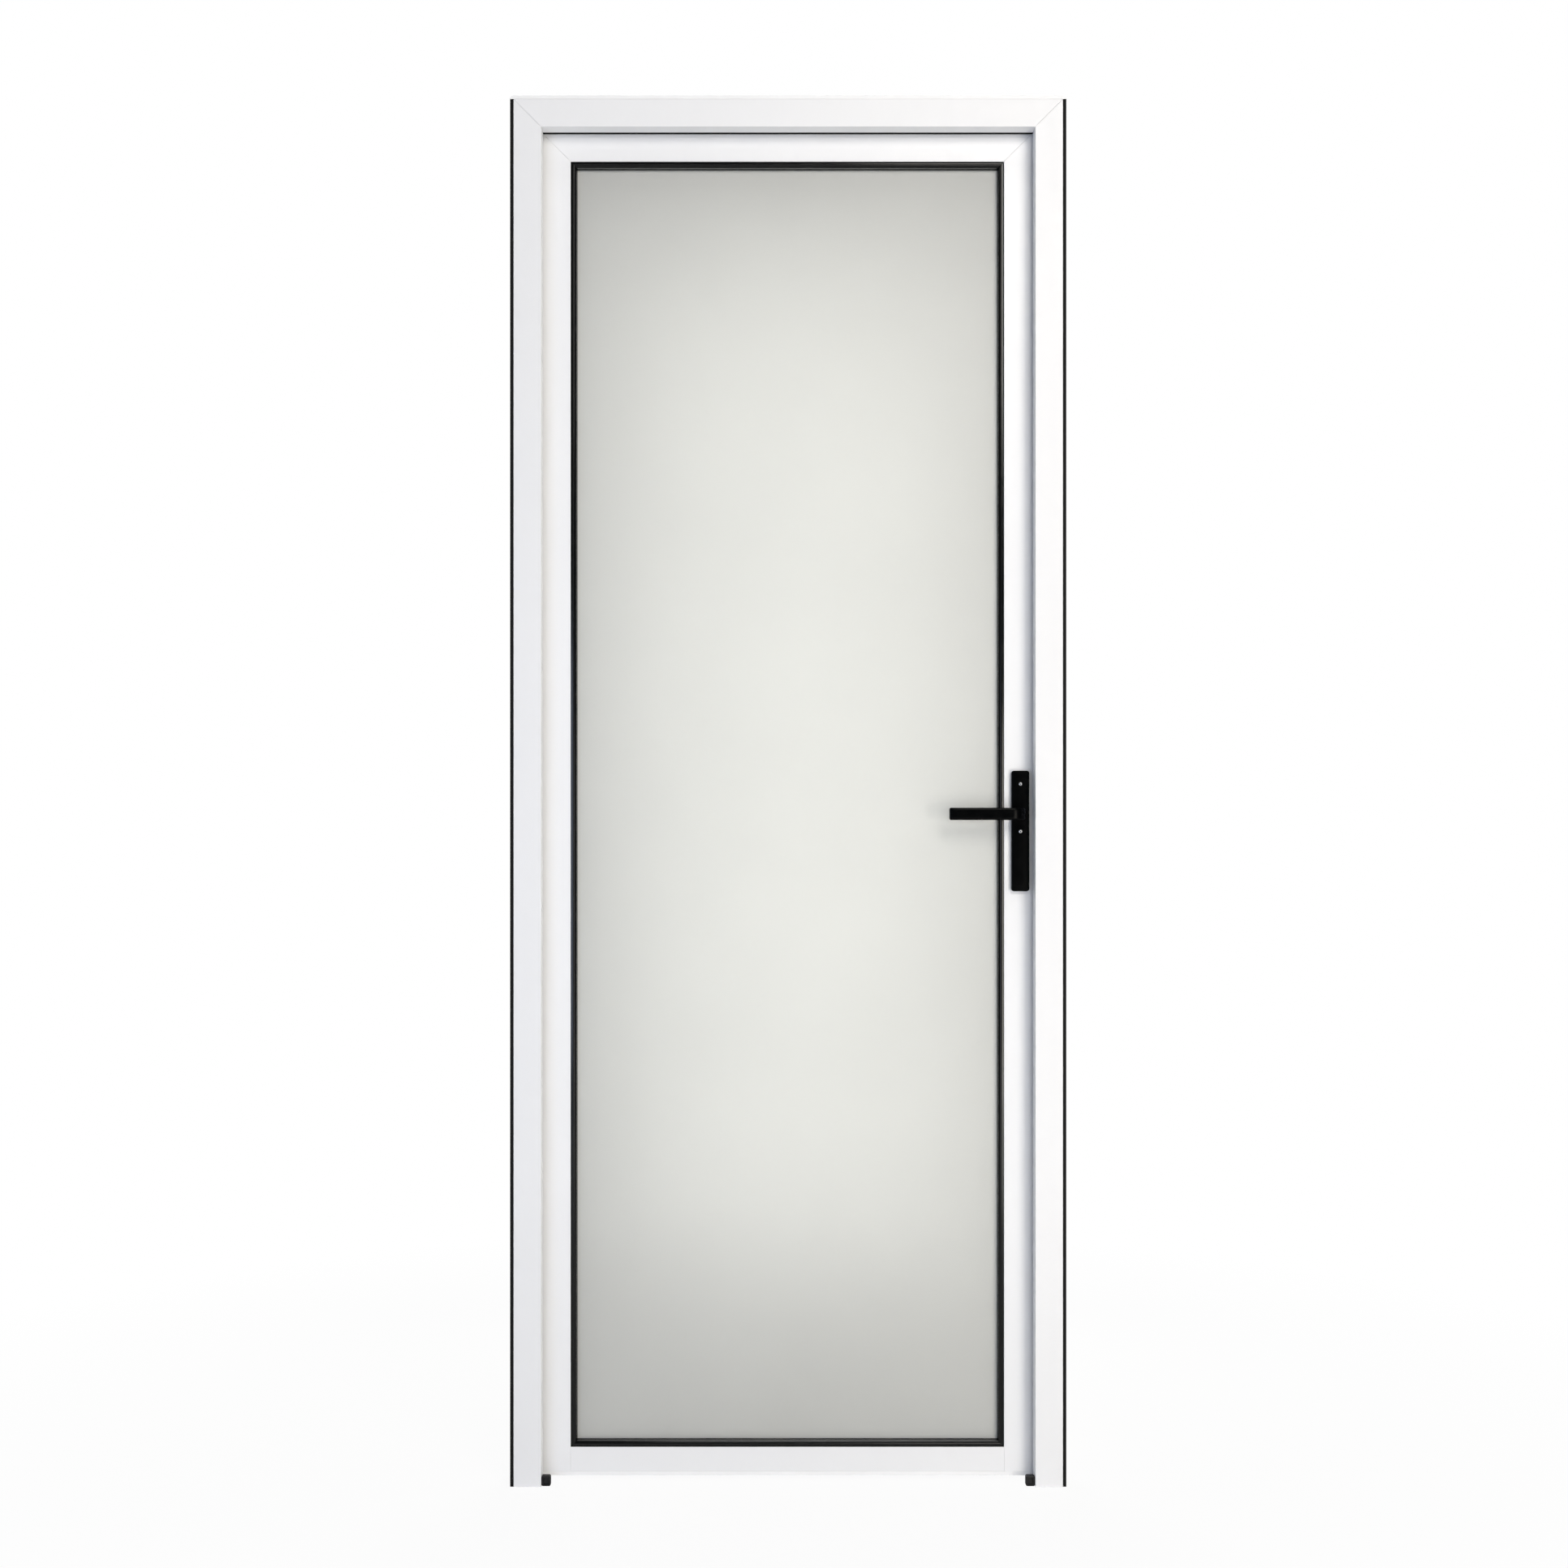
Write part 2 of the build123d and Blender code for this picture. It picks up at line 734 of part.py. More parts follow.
def hinge_half(z_middle, toward, z_low, z_high):
    """A hinge plate on a back face and its knuckle from z_low to z_high.
    toward is -1 on the jamb and 1 on the leaf."""
    near = hinge_knuckle_radius + hinge_swing_gap
    far = near + hinge_plate_width
    low = z_middle - hinge_height / 2
    high = z_middle + hinge_height / 2
    ends = sorted((hinge_axis_x + toward * near, hinge_axis_x + toward * far))
    plate_back = back_y + hinge_plate_thickness
    plate = block(ends[0], ends[1], back_y, plate_back, low, high)
    upright_ends = plate.edges().filter_by(Axis.Y).sort_by(Axis.X)
    plate = chamfer(upright_ends[:2] if toward < 0 else upright_ends[-2:], hinge_plate_corner)
    tongue_ends = sorted((hinge_axis_x + toward * near, hinge_axis_x))
    plate += block(tongue_ends[0], tongue_ends[1], back_y + hinge_face_gap, plate_back, z_low, z_high)
    return plate + hinge_cylinder(hinge_knuckle_radius, z_low, z_high)


def hinge_cylinder(radius, z_low, z_high):
    """A cylinder about the hinges' axis between two heights."""
    centre = (hinge_axis_x, hinge_axis_y, (z_low + z_high) / 2)
    return cylinder_along("z", centre, radius, z_high - z_low)


def build_hinges():
    """Three lift-off hinges: the jamb's half carries the pin, and the leaf's half drops over it."""
    pieces = {}
    for place, z in hinge_heights.items():
        high = z + hinge_height / 2
        joint_low = z - hinge_knuckle_gap / 2
        joint_high = z + hinge_knuckle_gap / 2
        bore_end = high - hinge_cap
        pin_end = bore_end - hinge_pin_end_gap
        lower_half = hinge_half(z, -1, z - hinge_height / 2, joint_low)
        upper_half = hinge_half(z, 1, joint_high, high)
        pin = hinge_cylinder(hinge_pin_radius, z - hinge_cap, pin_end)
        bore = hinge_cylinder(hinge_pin_radius + hinge_pin_clearance, joint_low, bore_end)
        pieces[f"hinge_{place}_frame_half"] = lower_half + pin
        pieces[f"hinge_{place}_leaf_half"] = upper_half - bore
    return pieces


def main():
    os.makedirs("parts", exist_ok=True)
    pieces = {}
    for group in (build_frame, build_leaf_frame, build_glazing, build_handle, build_lock, build_hinges):
        pieces.update(group())
    for name, piece in pieces.items():
        export_step(piece, f"parts/{name}.step")


main()
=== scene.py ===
import json
import math

import bmesh
import bpy
import numpy as np
from bpy.props import FloatProperty, FloatVectorProperty, IntProperty, PointerProperty
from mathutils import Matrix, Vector


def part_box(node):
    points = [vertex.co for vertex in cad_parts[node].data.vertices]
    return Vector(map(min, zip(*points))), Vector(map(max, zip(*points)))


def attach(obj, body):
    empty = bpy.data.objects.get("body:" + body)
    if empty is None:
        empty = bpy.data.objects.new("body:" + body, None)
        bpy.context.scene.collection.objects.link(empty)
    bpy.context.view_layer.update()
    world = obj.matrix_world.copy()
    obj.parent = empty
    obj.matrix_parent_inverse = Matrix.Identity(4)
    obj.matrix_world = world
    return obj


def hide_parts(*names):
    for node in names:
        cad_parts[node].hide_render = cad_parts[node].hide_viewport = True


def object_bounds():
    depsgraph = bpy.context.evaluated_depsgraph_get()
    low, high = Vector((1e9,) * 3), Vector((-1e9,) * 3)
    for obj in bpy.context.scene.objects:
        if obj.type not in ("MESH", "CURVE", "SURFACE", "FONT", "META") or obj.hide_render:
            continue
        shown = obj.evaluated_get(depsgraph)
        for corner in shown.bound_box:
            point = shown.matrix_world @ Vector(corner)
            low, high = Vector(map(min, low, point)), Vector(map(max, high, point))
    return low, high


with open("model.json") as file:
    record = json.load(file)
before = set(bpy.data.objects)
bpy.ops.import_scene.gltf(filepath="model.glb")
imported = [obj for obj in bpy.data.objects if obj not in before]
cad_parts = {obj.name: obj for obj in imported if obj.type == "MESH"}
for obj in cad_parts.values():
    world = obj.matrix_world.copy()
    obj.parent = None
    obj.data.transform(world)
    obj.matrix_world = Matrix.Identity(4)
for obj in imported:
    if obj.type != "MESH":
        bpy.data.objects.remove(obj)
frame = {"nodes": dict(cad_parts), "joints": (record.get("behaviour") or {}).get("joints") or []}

# Looks of the glazed bathroom door. Metres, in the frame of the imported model: X runs from the
# hinge jamb to the lock jamb, Y from the front to the back, Z up. The door is seen from the front.

bl_info = {
    "name": "Glazed bathroom door",
    "version": (1, 0, 0),
    "blender": (4, 5, 0),
    "location": "3D View > Sidebar > Door",
    "description": "Levers, hinges, beads, fixings, finishes and studio round a glazed door",
    "category": "Object",
}

CAD_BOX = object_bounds()
MM = 0.001
FRAME_BODY = "frame"
LEAF_BODY = "leaf"
LEVER_BODY = "lever_set"
LEAF_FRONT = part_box("leaf_hinge_stile")[0].y
LEAF_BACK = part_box("leaf_hinge_stile")[1].y
HINGE_AXIS = Vector(next(j["pos_m"] for j in frame["joints"] if j["name"] == "leaf_swing"))
SPINDLE = Vector(next(j["pos_m"] for j in frame["joints"] if j["name"] == "lever_turn"))
HINGE_PLACES = ("lower", "middle", "upper")
SIDES = ("left", "right", "top", "bottom")
RIGHT, BACK, UP = np.eye(3)
FULL_TURN = 2 * math.pi
QUARTER_TURN = math.pi / 2

# Where noise usually has its least and its most
NOISE_LEAST, NOISE_MOST = 0.3, 0.7

# The finishes by material slot, filled by the operator that runs first
FINISHES = {}

# The studio's lamps: place, point aimed at, width and height, and colour
LAMPS = {
    "key": ((1.5, -3.5, 3.0), (0.5, 0, 1.0), (1.5, 1.5), "#FFFAF2"),
    "side": ((2.2, -3.0, 0.7), (0.5, 0, 0.7), (1.0, 1.2), "#FFF8EE"),
    "low": ((1.2, -2.2, 0.2), (0.5, 0, 0.6), (2.4, 0.38), "#FFFEFA"),
    "fill": ((-1.3, -3.4, 0.9), (0.4, 0, 0.8), (1.6, 1.4), "#D3E2FF"),
    "top": ((0.7, -1.0, 4.2), (0.45, 0, 1.4), (1.4, 0.4), "#FFFFFF"),
    "behind": ((0.45, 1.1, 1.14), (0.45, 0, 1.14), (0.8, 2.12), "#FFFFFB"),
}


def linear(hex_colour):
    """A #RRGGBB sRGB colour as linear values with full alpha."""
    values = np.array([int(hex_colour[i:i + 2], 16) for i in (1, 3, 5)]) / 255
    bright = ((values + 0.055) / 1.055) ** 2.4
    return (*np.where(values <= 0.04045, values / 12.92, bright).tolist(), 1.0)


def colour_property(name, description, hex_colour):
    """A colour of the panel, its default given as #RRGGBB."""
    return FloatVectorProperty(
        name=name,
        description=description,
        subtype="COLOR",
        size=4,
        min=0,
        max=1,
        default=linear(hex_colour),
    )


def length_property(name, description, default):
    """A length of the panel, in metres."""
    return FloatProperty(
        name=name, description=description, unit="LENGTH", min=0, precision=4, default=default
    )


def power_property(name, description, default):
    """A lamp's power for the panel, in watts."""
    return FloatProperty(name=name, description=description, unit="POWER", min=0, default=default)


class DoorColours(bpy.types.PropertyGroup):
    """Colours of the door's finishes."""

    white: colour_property("White coat", "Powder coat of the frame and the leaf", "#F0F1F3")
    # White PVC, whiter than the coat: partly the plastic's own colour, and partly painted light
    # standing in for the extra light the head's cap strip catches from above. The bottom strip and
    # the screw caps share this colour.
    white_plastic_and_painted_light: colour_property("White plastic", "Strips and screw caps", "#F8F9FA")
    bead: colour_property("Bead black", "Coat of the glazing beads", "#040505")
    handle: colour_property("Handle black", "Coat of the levers, plates and hinges", "#020304")
    rubber: colour_property("Rubber", "Seals and gaskets", "#0A0A0B")
    block: colour_property("Block black", "Moulded blocks at the feet of the jambs", "#050506")
    glass: colour_property("Glass", "Tint of the etched pane", "#D7D8D5")
    steel: colour_property("Steel", "Lock and strike", "#B9BBBD")
    floor: colour_property("Floor", "Floor of the studio", "#F4F4F4")
    studio: colour_property("Studio", "Even light of the studio", "#F6F8FB")


class LeverSizes(bpy.types.PropertyGroup):
    """Sizes of the levers and their plates."""

    thickness: length_property("Thickness", "Thickness of the bar, front to back", 11 * MM)
    bend: length_property("Bend", "Radius of the bend's middle line", 15 * MM)
    tip_edge: length_property("Tip edge", "Rounding of the tip's edge", 2.4 * MM)
    squareness: FloatProperty(
        name="Squareness",
        description="Exponent of the bar's section, 2 is an ellipse",
        min=2,
        max=12,
        default=5.5,
    )
    collar_radius: length_property("Collar radius", "Radius of the collar in the plate", 8.8 * MM)
    collar_height: length_property("Collar height", "Height of the collar over the plate", 2.5 * MM)
    plate_corner: length_property("Plate corner", "Rounding of the plates' outline", 4 * MM)
    plate_edge: length_property("Plate edge", "Rounding of the plates' front edge", 1.5 * MM)
    screw_radius: length_property("Screw radius", "Radius of the plates' screw heads", 2.6 * MM)
    screw_above: length_property("Screw above", "Upper screw, from the spindle", 45.6 * MM)
    screw_below: length_property("Screw below", "Lower screw, from the spindle", 26.7 * MM)


class HingeSizes(bpy.types.PropertyGroup):
    """Sizes of the hinges."""

    knuckle: length_property("Knuckle", "Radius of the knuckles", 6.5 * MM)
    swing_gap: length_property("Swing gap", "Space between a knuckle and the other plate", 0.8 * MM)
    thickness: length_property("Thickness", "Thickness of the plates", 2.5 * MM)
    corner: length_property("Corner", "Rounding of the plates' outer corners", 4 * MM)
    edge: length_property("Edge", "Rounding of the plates' edges", 0.5 * MM)
    rim: length_property("Rim", "Rounding of the knuckles' rims", 0.8 * MM)
    half_joint: length_property("Half joint", "Half the gap between two knuckles", 0.25 * MM)
    screw_radius: length_property("Screw radius", "Radius of the screw heads", 4.2 * MM)
    screw_shift: length_property("Screw shift", "Screws, from the plate's middle line", 4 * MM)
    inner_screw: length_property("Inner screws", "Inner screws, from the hinge's middle", 12 * MM)
    outer_screw: length_property("Outer screws", "Outer screws, from the hinge's middle", 36 * MM)


class BeadSizes(bpy.types.PropertyGroup):
    """Sizes of the glazing beads, in from the glazing line and back from the leaf's face."""

    face: length_property("Face", "Width of the bead's face", 8.6 * MM)
    recess: length_property("Recess", "Depth of the flat behind the leaf's face", 1.0 * MM)
    ridge_start: length_property("Ridge start", "Where the ridge begins", 3.3 * MM)
    ridge_width: length_property("Ridge width", "Width of the ridge", 3.0 * MM)
    ridge_height: length_property("Ridge height", "Height of the ridge over the flat", 0.82 * MM)
    nose: length_property("Nose", "Rounding of the edge at the glass", 0.7 * MM)
    nose_depth: length_property("Nose depth", "Depth of that edge", 3.65 * MM)
    mitre: length_property("Mitre gap", "How far a mitre stands back", 0.12 * MM)


class FixingSizes(bpy.types.PropertyGroup):
    """Sizes of the screw caps, the lock's screws and the foot blocks."""

    cap_radius: length_property("Cap radius", "Radius of the caps over the wall screws", 6 * MM)
    cap_height: length_property("Cap height", "Height of those caps", 0.9 * MM)
    rebate: length_property("Rebate", "Depth of the rebate, from the wall face", 33 * MM)
    screw_depth: length_property("Screw depth", "Wall screws, from the frame's front", 48.5 * MM)
    jamb_end: length_property("Jamb end", "Outer wall screws, from a jamb's ends", 150 * MM)
    jamb_count: IntProperty(
        name="Jamb screws", description="Wall screws in a jamb", min=2, max=8, default=4
    )
    head_end: length_property("Head end", "Wall screws in the head, from its ends", 210 * MM)
    lock_screw_radius: length_property("Lock screw radius", "Screws of lock and strike", 3.4 * MM)
    lock_screw_reach: length_property("Lock screws", "Above and below the spindle", 70 * MM)
    strike_screw_reach: length_property("Strike screws", "Above and below the spindle", 44 * MM)
    block_edge: length_property("Block edge", "Rounding of a foot block's front edge", 0.8 * MM)
    block_corner: length_property("Block corner", "Rounding of a foot block's outline", 2.6 * MM)
    block_rim: length_property("Block rim", "Rim round a foot block's pocket", 2.6 * MM)
    block_pocket: length_property("Block pocket", "Depth of that pocket", 2.5 * MM)


class StageSizes(bpy.types.PropertyGroup):
    """Camera and light of the studio."""

    distance: length_property("Camera distance", "From the door's front to the camera", 3.05)
    camera_x: length_property("Camera side", "Camera's place across the door", 0.3695)
    camera_z: length_property("Camera height", "Camera's height over the floor", 1.0)
    lens: FloatProperty(
        name="Lens", description="Focal length in millimetres", min=10, max=200, default=46.4
    )
    aim_x: length_property("Picture centre side", "Centre of the picture across the door", 0.4136)
    aim_z: length_property("Picture centre height", "Centre of the picture over the floor", 1.0608)
    key: power_property("Key light", "Power of the key light", 64)
    side: power_property("Side light", "Power of the light at the side", 35)
    low: power_property("Low light", "Power of the low light", 6)
    fill: power_property("Fill light", "Power of the fill light", 26)
    top: power_property("Top light", "Power of the light overhead", 8)
    behind: power_property("Light behind", "Power of the light behind the door", 19)
    ambient: FloatProperty(
        name="Ambient", description="Strength of the even light", min=0, default=0.11
    )


# Finishes. Each is one Principled shader, driven by noise on the piece's Object coordinates.


def add(tree, kind, inputs=None, **settings):
    """Add one node, with its settings, and its inputs as values or as other nodes' sockets."""
    made = tree.nodes.new(kind)
    for name, value in settings.items():
        setattr(made, name, value)
    for name, value in (inputs or {}).items():
        if isinstance(value, bpy.types.NodeSocket):
            tree.links.new(value, made.inputs[name])
        else:
            made.inputs[name].default_value = value
    return made


def start_finish(name, **sockets):
    """A material with one Principled shader. Plain values go straight on its sockets.
    Returns the material, its node tree, the shader and the object's own coordinates."""
    made = bpy.data.materials.new(name)
    made.use_nodes = True
    tree = made.node_tree
    tree.nodes.clear()
    values = {
        key.replace("_", " ").title().replace("Ior", "IOR"): value for key, value in sockets.items()
    }
    shader = add(tree, "ShaderNodeBsdfPrincipled", values)
    add(tree, "ShaderNodeOutputMaterial", {"Surface": shader.outputs["BSDF"]})
    place = add(tree, "ShaderNodeTexCoord").outputs["Object"]
    return made, tree, shader, place


def surface(tree, shader, place, colour, tone, gloss, relief, under=None):
    """Let noise drive a shader. Each row begins with the noise's grain in metres and its detail.
    tone is (grain, detail, share): the colour gets darker by up to that share. gloss is (grain,
    detail, least roughness, most roughness). relief is (grain, detail, depth): a bump of that
    depth in metres, over the one under it if there is one."""
    noises = {}
    for grain, detail in dict.fromkeys(row[:2] for row in (tone, gloss, relief)):
        ends = {"Vector": place, "Scale": 1 / grain, "Detail": detail}
        noises[grain, detail] = add(tree, "ShaderNodeTexNoise", ends).outputs["Fac"]
    usual = {"From Min": NOISE_LEAST, "From Max": NOISE_MOST}
    drift = add(tree, "ShaderNodeMapRange", {**usual, "Value": noises[tone[:2]]})
    darker = [channel * (1 - tone[2]) for channel in colour[:3]] + [1]
    ends = {"Factor": drift.outputs["Result"], "A": colour, "B": darker}
    shade = add(tree, "ShaderNodeMix", ends, data_type="RGBA")
    ends = {**usual, "Value": noises[gloss[:2]], "To Min": gloss[2], "To Max": gloss[3]}
    roughness = add(tree, "ShaderNodeMapRange", ends)
    ends = {"Height": noises[relief[:2]], "Distance": relief[2], "Strength": 1.0}
    if under is not None:
        ends["Normal"] = under
    raised = add(tree, "ShaderNodeBump", ends)
    tree.links.new(shade.outputs["Result"], shader.inputs["Base Color"])
    tree.links.new(roughness.outputs["Result"], shader.inputs["Roughness"])
    tree.links.new(raised.outputs["Normal"], shader.inputs["Normal"])


def powder_coat(name, colour, gloss, peel, depth, share, specular=0.5):
    """Powder-coated metal: sprayed dry and baked, so it flows out to a closed film with a faint
    orange peel, even in colour, with a soft broad highlight. The film rounds each edge of the
    metal, and that catches a thin line of light."""
    made, tree, shader, place = start_finish(name, ior=1.5, specular_ior_level=specular)
    edge = add(tree, "ShaderNodeBevel", {"Radius": 0.5 * MM}, samples=4).outputs["Normal"]
    tone = (320 * MM, 1.0, share)
    flow = (18 * MM, 1.0, gloss - 0.04, gloss + 0.04)
    surface(tree, shader, place, colour, tone, flow, (peel, 1.5, depth), edge)
    return made


def moulded_plastic(name, colour, gloss, grain):
    """Moulded plastic: the tool's fine spark-eroded grain gives an even, slightly soft surface.
    The real grain is about 0.2 mm and is drawn at 1 mm or more, or it wouldn't show."""
    made, tree, shader, place = start_finish(name, ior=1.46, specular_ior_level=0.5)
    speckle = (grain, 3.0, gloss - 0.06, gloss + 0.06)
    surface(tree, shader, place, colour, (40 * MM, 2.0, 0.03), speckle, (grain, 3.0, 0.012 * MM))
    return made


def extruded_rubber(name, colour):
    """Extruded EPDM rubber: matt, with a greyish bloom in 9 mm patches. The real pores are about
    0.2 mm and are drawn at 0.7 mm, or they wouldn't show."""
    made, tree, shader, place = start_finish(name, ior=1.52, specular_ior_level=0.2)
    pores = (0.7 * MM, 2.0, 0.62, 0.82)
    surface(tree, shader, place, colour, (9 * MM, 3.0, 0.3), pores, (0.7 * MM, 2.0, 0.03 * MM))
    return made


def etched_glass(name, colour):
    """Acid-etched float glass: both faces bitten to a silky matt, so light comes through fully
    scattered. The real grain is about 0.05 mm and is drawn at 0.9 mm, or it wouldn't show."""
    made, tree, shader, place = start_finish(
        name, ior=1.5, specular_ior_level=0.5, transmission_weight=0.42
    )
    grain = (0.9 * MM, 2.0, 0.46, 0.56)
    surface(tree, shader, place, colour, (260 * MM, 2.0, 0.03), grain, (0.9 * MM, 2.0, 0.02 * MM))
    return made


def brushed_steel(name, colour):
    """Brushed stainless steel: a belt leaves lines 0.2 mm apart along the plate's length, drawn at
    0.4 mm, which stretch each highlight across them. The noise has the lines' own size, so its
    grain is 1."""
    made, tree, shader, place = start_finish(name, metallic=1.0, anisotropic=0.5)
    stretch = (1 / (0.4 * MM), 1 / (0.4 * MM), 1 / (45 * MM))
    lines = add(tree, "ShaderNodeMapping", {"Vector": place, "Scale": stretch}).outputs["Vector"]
    surface(tree, shader, lines, colour, (1, 2.0, 0.12), (1, 2.0, 0.24, 0.38), (1, 2.0, 0.01 * MM))
    return made


def make_finishes(colours):
    """Every finish of the door, by the record's material slot."""
    # plastic is the white plastic colour, whose extra whiteness over the coat is partly painted
    # light
    white, plastic, handle = colours.white, colours.white_plastic_and_painted_light, colours.handle
    white_coat = {"peel": 2.2 * MM, "depth": 0.012 * MM, "share": 0.012}
    bead_coat = {"peel": 1.6 * MM, "depth": 0.006 * MM, "share": 0.2, "specular": 0.35}
    handle_coat = {"peel": 1.2 * MM, "depth": 0.006 * MM, "share": 0.2, "specular": 0.05}
    hinge_coat = {"peel": 1.4 * MM, "depth": 0.01 * MM, "share": 0.2, "specular": 0.2}
    return {
        "frame_white": powder_coat("powder_coated_aluminium_frame", white, 0.42, **white_coat),
        "leaf_white": powder_coat("powder_coated_aluminium_leaf", white, 0.38, **white_coat),
        "cap_strip_white": moulded_plastic("extruded_pvc_strip", plastic, 0.45, 1.2 * MM),
        "strip_white": moulded_plastic("extruded_pvc_bottom_strip", plastic, 0.45, 1.2 * MM),
        "seal_black": extruded_rubber("extruded_rubber_seal", colours.rubber),
        "block_black": moulded_plastic("moulded_nylon_block", colours.block, 0.42, 1.0 * MM),
        "bead_black": powder_coat("powder_coated_aluminium_bead", colours.bead, 0.14, **bead_coat),
        "frosted_glass": etched_glass("acid_etched_glass", colours.glass),
        "handle_black": powder_coat("powder_coated_zinc_handle", handle, 0.24, **handle_coat),
        "hinge_black": powder_coat("powder_coated_steel_hinge", handle, 0.36, **hinge_coat),
        "lock_steel": brushed_steel("brushed_stainless_steel", colours.steel),
    }


def slot_of(node):
    """The record's material slot of a CAD node."""
    if node in ("hinge_jamb", "lock_jamb", "head"):
        return "frame_white"
    if node == "head_cap_strip":
        return "cap_strip_white"
    if node == "leaf_bottom_strip":
        return "strip_white"
    if node.startswith("leaf_"):
        return "leaf_white"
    if node.endswith(("_seal", "_gasket")):
        return "seal_black"
    if node.endswith("_foot_block"):
        return "block_black"
    if "_bead_" in node:
        return "bead_black"
    if node == "glass_pane":
        return "frosted_glass"
    if node.endswith(("_handle_plate", "_lever")):
        return "handle_black"
    if node.startswith("hinge_"):
        return "hinge_black"
    return "lock_steel"


# Surfaces. A shell is an array of rings of points, first ring to last, and its two end rings
# are closed with flat faces.


def make_piece(name, shells, slot, body, stands_for=(), sharp=32.0):
    """One object from closed shells. Walls are smooth up to the sharp angle, and ends are flat."""
    points, faces, smooth, start = [], [], [], 0
    for rings in shells:
        rows, columns = rings.shape[:2]
        index = start + np.arange(rows * columns).reshape(rows, columns)
        beside = np.roll(index, -1, axis=1)
        walls = np.stack((index[:-1], beside[:-1], beside[1:], index[1:]), axis=-1).reshape(-1, 4)
        faces += walls.tolist() + [index[0, ::-1].tolist(), index[-1].tolist()]
        smooth += [True] * len(walls) + [False, False]
        points.append(rings.reshape(-1, 3))
        start += rows * columns
    mesh = bpy.data.meshes.new(name)
    mesh.from_pydata(np.concatenate(points).tolist(), [], faces)
    mesh.polygons.foreach_set("use_smooth", smooth)
    shape = bmesh.new()
    shape.from_mesh(mesh)
    bmesh.ops.recalc_face_normals(shape, faces=shape.faces)
    shape.to_mesh(mesh)
    shape.free()
    mesh.set_sharp_from_angle(angle=math.radians(sharp))
    mesh.materials.append(FINISHES[slot])
    piece = bpy.data.objects.new(name, mesh)
    bpy.context.scene.collection.objects.link(piece)
    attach(piece, body)
    if stands_for:
        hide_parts(*stands_for)
    return piece


def quarter_round(radius, steps=5):
    """Insets and rises of a rounded edge: radius * (1 - cos a) in, and radius * sin a up, from a
    side wall over to a face, for a from 0 to a quarter turn."""
    angle = np.linspace(0, QUARTER_TURN, steps)
    return radius * (1 - np.cos(angle)), radius * np.sin(angle)


def rounded_plate(centre, across, along, outward, half_width, half_height, corner, rings, steps=7):
    """A plate with a rounded outline. Ring k is the outline drawn in by its inset and moved
    outward by its rise: a corner's point is its centre plus (corner - inset) * (cos a, sin a).
    A corner never gets smaller than least, and beyond that its centre is drawn in."""
    insets, rises = np.array(rings).T
    angle = np.linspace(0, QUARTER_TURN, steps) + np.arange(4)[:, None] * QUARTER_TURN
    signs = np.array([(1, 1), (-1, 1), (-1, -1), (1, -1)])
    least = 0.05 * MM
    inner = np.maximum(corner - insets, least)
    pull = np.maximum(insets - corner + least, 0)
    wide = signs[None, :, None, 0] * (half_width - corner - pull[:, None, None])
    high = signs[None, :, None, 1] * (half_height - corner - pull[:, None, None])
    u = (wide + inner[:, None, None] * np.cos(angle)).reshape(len(insets), -1, 1)
    v = (high + inner[:, None, None] * np.sin(angle)).reshape(len(insets), -1, 1)
    return np.array(centre) + u * across + v * along + rises[:, None, None] * outward


def turned(centre, axis, rings, count=40):
    """A shape turned about an axis. Ring k has its radius and its distance along the axis. Where
    its third value is 1 the ring is a hexagon: the radius over the cosine of the angle from the
    middle of the nearest side."""
    radii, rises, hexagon = np.array(rings, float).T
    angle = np.linspace(0, FULL_TURN, count, endpoint=False)
    from_side = np.mod(angle, FULL_TURN / 6) - FULL_TURN / 12
    spread = 1 + hexagon[:, None] * (1 / np.cos(from_side) - 1)
    reach = (radii[:, None] * spread)[..., None]
    axis = np.array(axis, float)
    first = np.cross(axis, RIGHT if abs(axis[0]) < 0.5 else UP)
    second = np.cross(axis, first)
    circle = np.cos(angle)[:, None] * first + np.sin(angle)[:, None] * second
    return np.array(centre) + reach * circle + rises[:, None, None] * axis


def screw_head(centre, outward, radius, dome=0.06, socket=0.46):
    """A raised countersunk head with a hexagon socket. dome and socket are shares of the radius:
    the top rises as dome * (1 - s * s), where s is the share of the radius from the middle."""
    hexagon = radius * socket
    rim = 0.12 * MM
    shares = np.linspace(1, socket + 0.06, 6)
    # From the cone under the head over its rim and its dome into the socket
    rings = [(radius * 0.6, -radius * 0.5, 0), (radius, -0.05 * MM, 0)]
    rings += [(radius * s, rim + radius * dome * (1 - s * s), 0) for s in shares[:-1]]
    rings += [(radius * shares[-1], rim + radius * dome * (1 - shares[-1] ** 2), 1)]
    rings += [(hexagon, 0.05 * MM, 1), (hexagon * 0.96, -radius * 0.38, 1)]
    return turned(centre, outward, rings, 36)


def carried(profile, start, inward, depth, along, length, setback):
    """A bar with mitred ends: each point of the profile, distance in and depth, runs from
    in + setback to length - in - setback along the bar."""
    base = np.array(start) + profile[:, :1] * inward + profile[:, 1:] * depth
    first = profile[:, :1] + setback
    last = length - profile[:, :1] - setback
    return np.stack([base + first * along, base + last * along])


# Pieces


